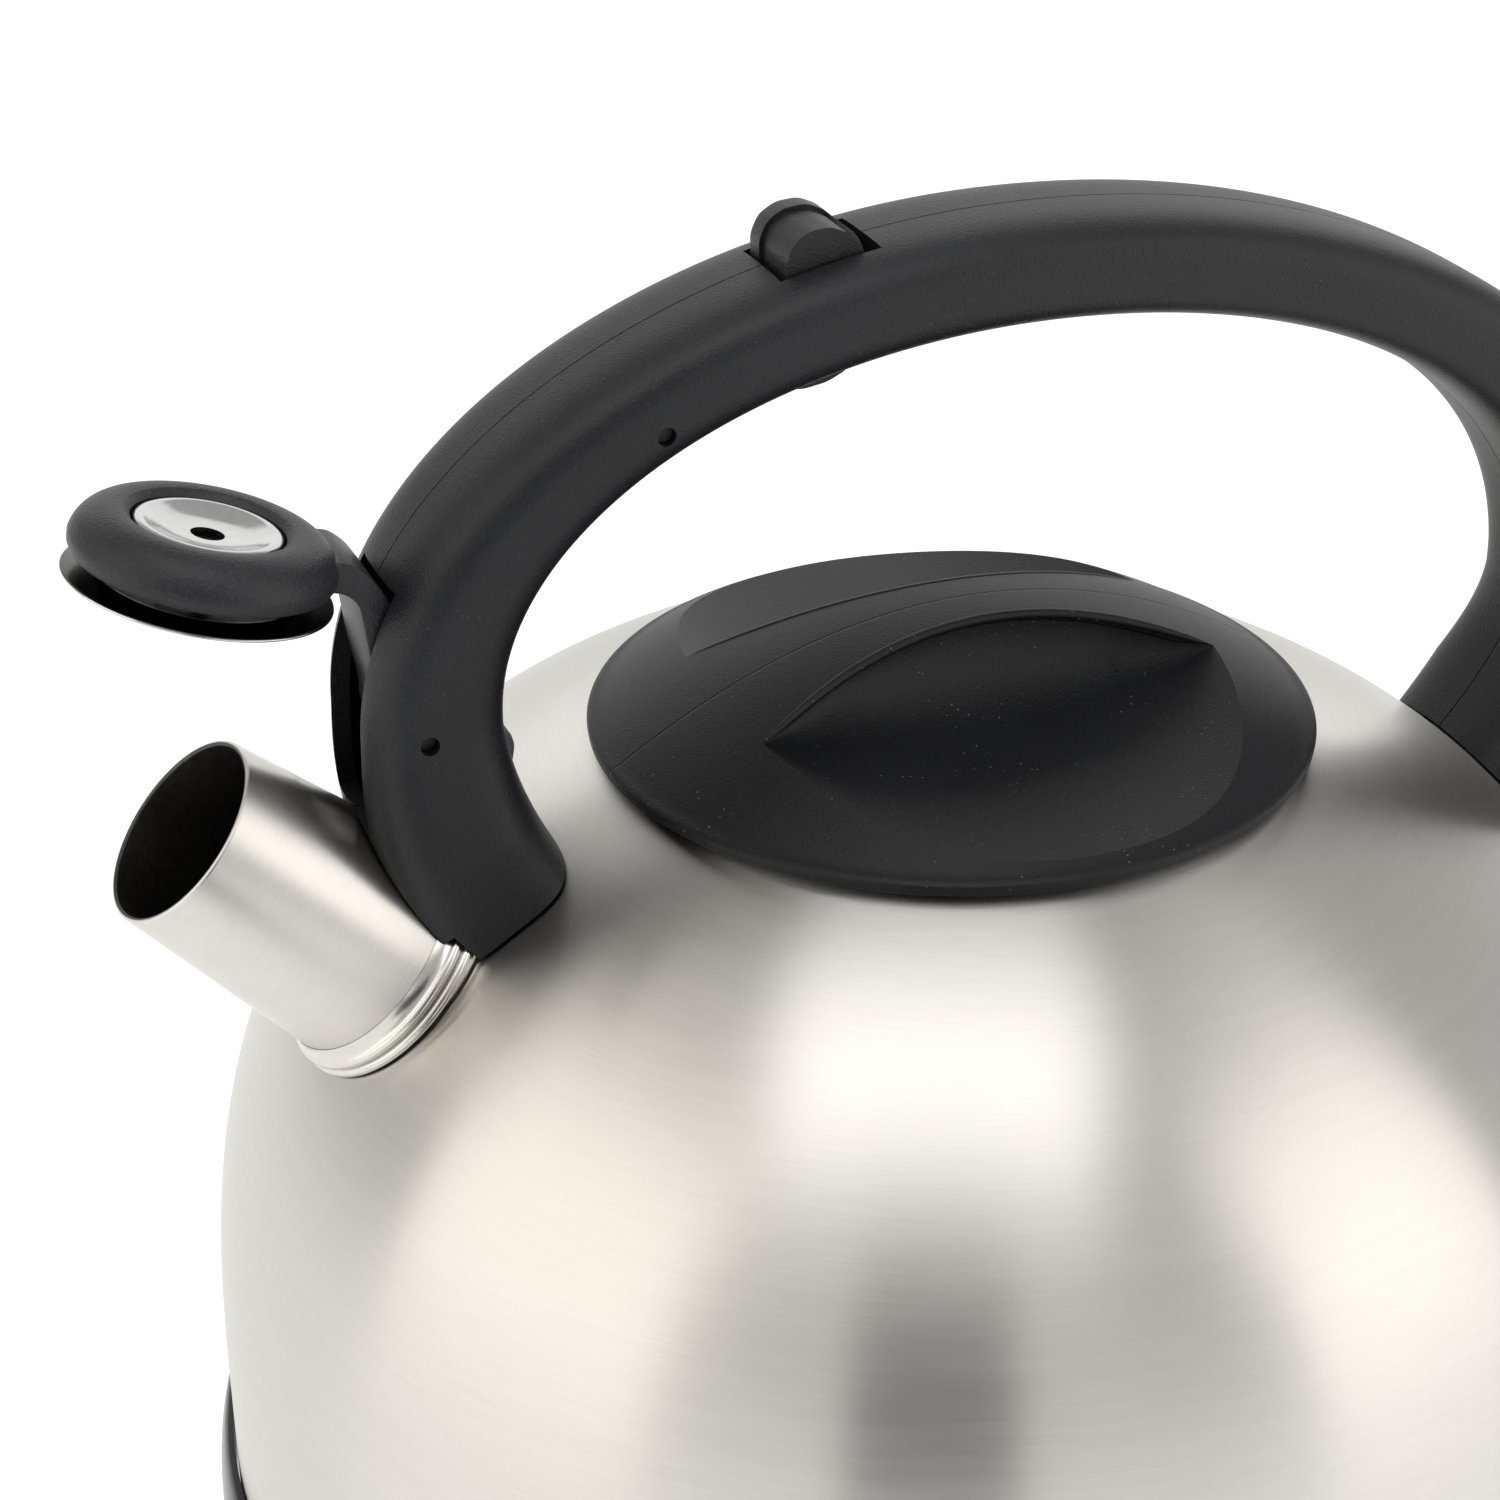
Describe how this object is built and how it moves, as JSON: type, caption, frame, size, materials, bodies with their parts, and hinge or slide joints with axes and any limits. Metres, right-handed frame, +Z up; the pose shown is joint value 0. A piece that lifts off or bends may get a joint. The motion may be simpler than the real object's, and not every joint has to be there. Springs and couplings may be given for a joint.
{
  "type": "stovetop whistling kettle",
  "caption": "Domed steel kettle with an arched hollow handle, a lift-off lid, and a whistle cap on a pivoted arm that a thumb lever opens.",
  "frame": {"origin": "centre of the base, on the surface that the kettle stands on", "axes": "+Z up the body's axis; the spout points to -X; the handle lies in the XZ plane; Y runs across the handle"},
  "size_m": [0.2378, 0.2256, 0.2135],
  "materials": {
    "brushed_shell": "brushed round the axis",
    "base_steel": "turned",
    "spout_steel": "fine brushed",
    "polished_steel": "polished",
    "hardware_steel": "drawn",
    "handle_black": "fine grain",
    "lid_black": "fine grain",
    "ring_black": "gloss",
    "silicone": "satin"
  },
  "bodies": {
    "kettle": {"kettle_body": "brushed_shell", "base_plate": "base_steel", "base_ring": "ring_black", "spout_tube": "spout_steel", "spout_collar": "spout_steel", "front_bracket": "hardware_steel", "rear_bracket": "hardware_steel", "handle_shell_near": "handle_black", "handle_shell_far": "handle_black", "whistle_pivot_pin": "hardware_steel", "lever_pivot_pin": "hardware_steel", "rear_handle_pin": "hardware_steel", "lever_spring": "hardware_steel"},
    "whistle": {"whistle_carrier": "handle_black", "crank_pin": "hardware_steel", "whistle_seat_cup": "polished_steel", "whistle_inner_disc": "polished_steel", "whistle_top_disc": "polished_steel"},
    "lever": {"thumb_lever": "handle_black"},
    "lid": {"lid_cover": "lid_black", "lid_plug": "hardware_steel", "lid_seal": "silicone", "lid_washer": "hardware_steel", "lid_screw": "hardware_steel"}
  },
  "joints": [
    {"name": "lever_hinge", "type": "hinge", "parent": "kettle", "child": "lever", "pos_m": [-0.047, 0, 0.1908], "axis": [0, 1, 0], "range_deg": [0, 10.7]},
    {"name": "whistle_hinge", "type": "hinge", "parent": "kettle", "child": "whistle", "pos_m": [-0.0805, 0, 0.1534], "axis": [0, -1, 0], "range_deg": [0, 61.5]},
    {"name": "lid_lift", "type": "slide", "parent": "kettle", "child": "lid", "axis": [0, 0, 1], "range_m": [0, 0.035]}
  ],
  "couplings": [
    {"joint": "whistle_hinge", "follows": "lever_hinge", "ratio": 5.7477}
  ]
}
